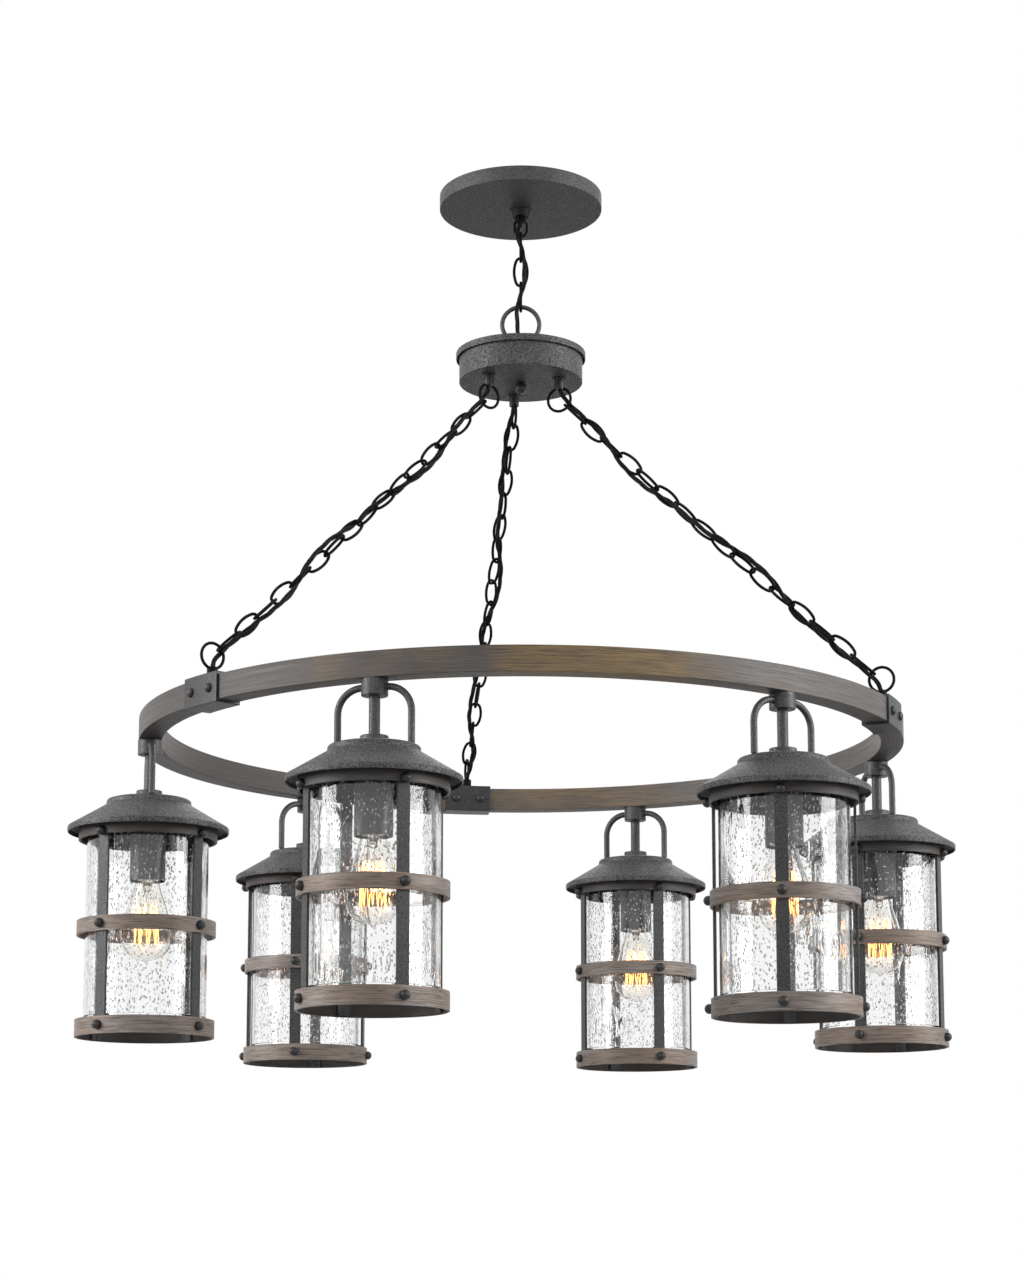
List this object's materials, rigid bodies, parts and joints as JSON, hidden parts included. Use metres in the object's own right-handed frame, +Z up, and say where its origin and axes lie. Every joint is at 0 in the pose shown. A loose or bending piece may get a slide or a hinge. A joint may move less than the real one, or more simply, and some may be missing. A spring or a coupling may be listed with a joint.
{
  "type": "ring chandelier",
  "caption": "Ring chandelier with glass lanterns hung under a flat-sided ring, on chains from a drum hub, a chain and a round ceiling canopy.",
  "frame": {"origin": "middle of the mounting strap's top face, on the ceiling plane", "axes": "+Z up out of the ceiling strap, +X along the strap's slots, +Y away from the viewer of the picture"},
  "size_m": [1.0572, 1.0126, 1.0478],
  "materials": {
    "aged_metal": "matte, mottled aged grey",
    "streaked_metal": "matte, grey and brown streaks along the band",
    "dark_iron": "satin black, fine texture",
    "plated_steel": "zinc plated",
    "cord": "matte dark brown",
    "clear_glass": "clear with small seeds",
    "bulb_glass": "pale amber, clear",
    "bulb_cap": "satin",
    "holder": "moulded dark brown"
  },
  "bodies": {
    "ceiling_mount": {"mounting_strap": "plated_steel", "strap_fasteners": "plated_steel", "mounting_nipple": "plated_steel", "canopy_loop": "dark_iron", "supply_cord_upper": "cord"},
    "canopy_cover": {"canopy": "aged_metal", "canopy_ring_nut": "aged_metal"},
    "top_link": {"chain_link_1": "dark_iron", "supply_cord_middle": "cord"},
    "lower_links": {"chain_link_2": "dark_iron", "chain_link_3": "dark_iron", "supply_cord_lower": "cord"},
    "fixture": {"bracket_bolts": "dark_iron", "bracket_eyes": "dark_iron", "cage_straps": "aged_metal", "cage_studs": "dark_iron", "chain_cord_1": "cord", "chain_cord_2": "cord", "chain_cord_3": "cord", "glass_tabs": "dark_iron", "hanger_bails": "aged_metal", "hanger_collars": "aged_metal", "hanger_nuts": "plated_steel", "hanger_stems": "aged_metal", "hub_body": "aged_metal", "hub_cover": "aged_metal", "hub_eye_nuts": "plated_steel", "hub_eyes": "dark_iron", "hub_finial": "aged_metal", "hub_loop": "aged_metal", "hub_rod": "plated_steel", "lampholders": "holder", "lantern_glasses": "clear_glass", "lantern_roofs": "aged_metal", "lower_bands": "streaked_metal", "middle_bands": "streaked_metal", "ring_bracket_1": "dark_iron", "ring_bracket_2": "dark_iron", "ring_bracket_3": "dark_iron", "ring_segment_1": "streaked_metal", "ring_segment_2": "streaked_metal", "ring_segment_3": "streaked_metal", "roof_washers": "aged_metal", "socket_cups": "aged_metal", "spreader_chain_1": "dark_iron", "spreader_chain_2": "dark_iron", "spreader_chain_3": "dark_iron", "upper_bands": "streaked_metal"},
    "bulb_1": {"bulb_glass_1": "bulb_glass", "bulb_cap_1": "bulb_cap"},
    "bulb_2": {"bulb_glass_2": "bulb_glass", "bulb_cap_2": "bulb_cap"},
    "bulb_3": {"bulb_glass_3": "bulb_glass", "bulb_cap_3": "bulb_cap"},
    "bulb_4": {"bulb_glass_4": "bulb_glass", "bulb_cap_4": "bulb_cap"},
    "bulb_5": {"bulb_glass_5": "bulb_glass", "bulb_cap_5": "bulb_cap"},
    "bulb_6": {"bulb_glass_6": "bulb_glass", "bulb_cap_6": "bulb_cap"}
  },
  "joints": [
    {"name": "canopy_drop", "type": "slide", "parent": "ceiling_mount", "child": "canopy_cover", "axis": [0, 0, -1], "range_m": [0, 0.02]},
    {"name": "swing_front_back", "type": "hinge", "parent": "ceiling_mount", "child": "top_link", "pos_m": [0, 0, -0.05145], "axis": [1, 0, 0], "range_deg": [-12, 12], "deforming": ["supply_cord_upper"]},
    {"name": "swing_side", "type": "hinge", "parent": "top_link", "child": "lower_links", "pos_m": [0, 0, -0.0831], "axis": [0, 1, 0], "range_deg": [-12, 12], "deforming": ["supply_cord_middle"]},
    {"name": "twist", "type": "hinge", "parent": "lower_links", "child": "fixture", "pos_m": [0, 0, -0.14255], "axis": [0, 0, 1], "range_deg": [-20, 20], "deforming": ["supply_cord_lower"]},
    {"name": "bulb_1_out", "type": "slide", "parent": "fixture", "child": "bulb_1", "axis": [0, 0, -1], "range_m": [0, 0.26]},
    {"name": "bulb_2_out", "type": "slide", "parent": "fixture", "child": "bulb_2", "axis": [0, 0, -1], "range_m": [0, 0.26]},
    {"name": "bulb_3_out", "type": "slide", "parent": "fixture", "child": "bulb_3", "axis": [0, 0, -1], "range_m": [0, 0.26]},
    {"name": "bulb_4_out", "type": "slide", "parent": "fixture", "child": "bulb_4", "axis": [0, 0, -1], "range_m": [0, 0.26]},
    {"name": "bulb_5_out", "type": "slide", "parent": "fixture", "child": "bulb_5", "axis": [0, 0, -1], "range_m": [0, 0.26]},
    {"name": "bulb_6_out", "type": "slide", "parent": "fixture", "child": "bulb_6", "axis": [0, 0, -1], "range_m": [0, 0.26]}
  ]
}
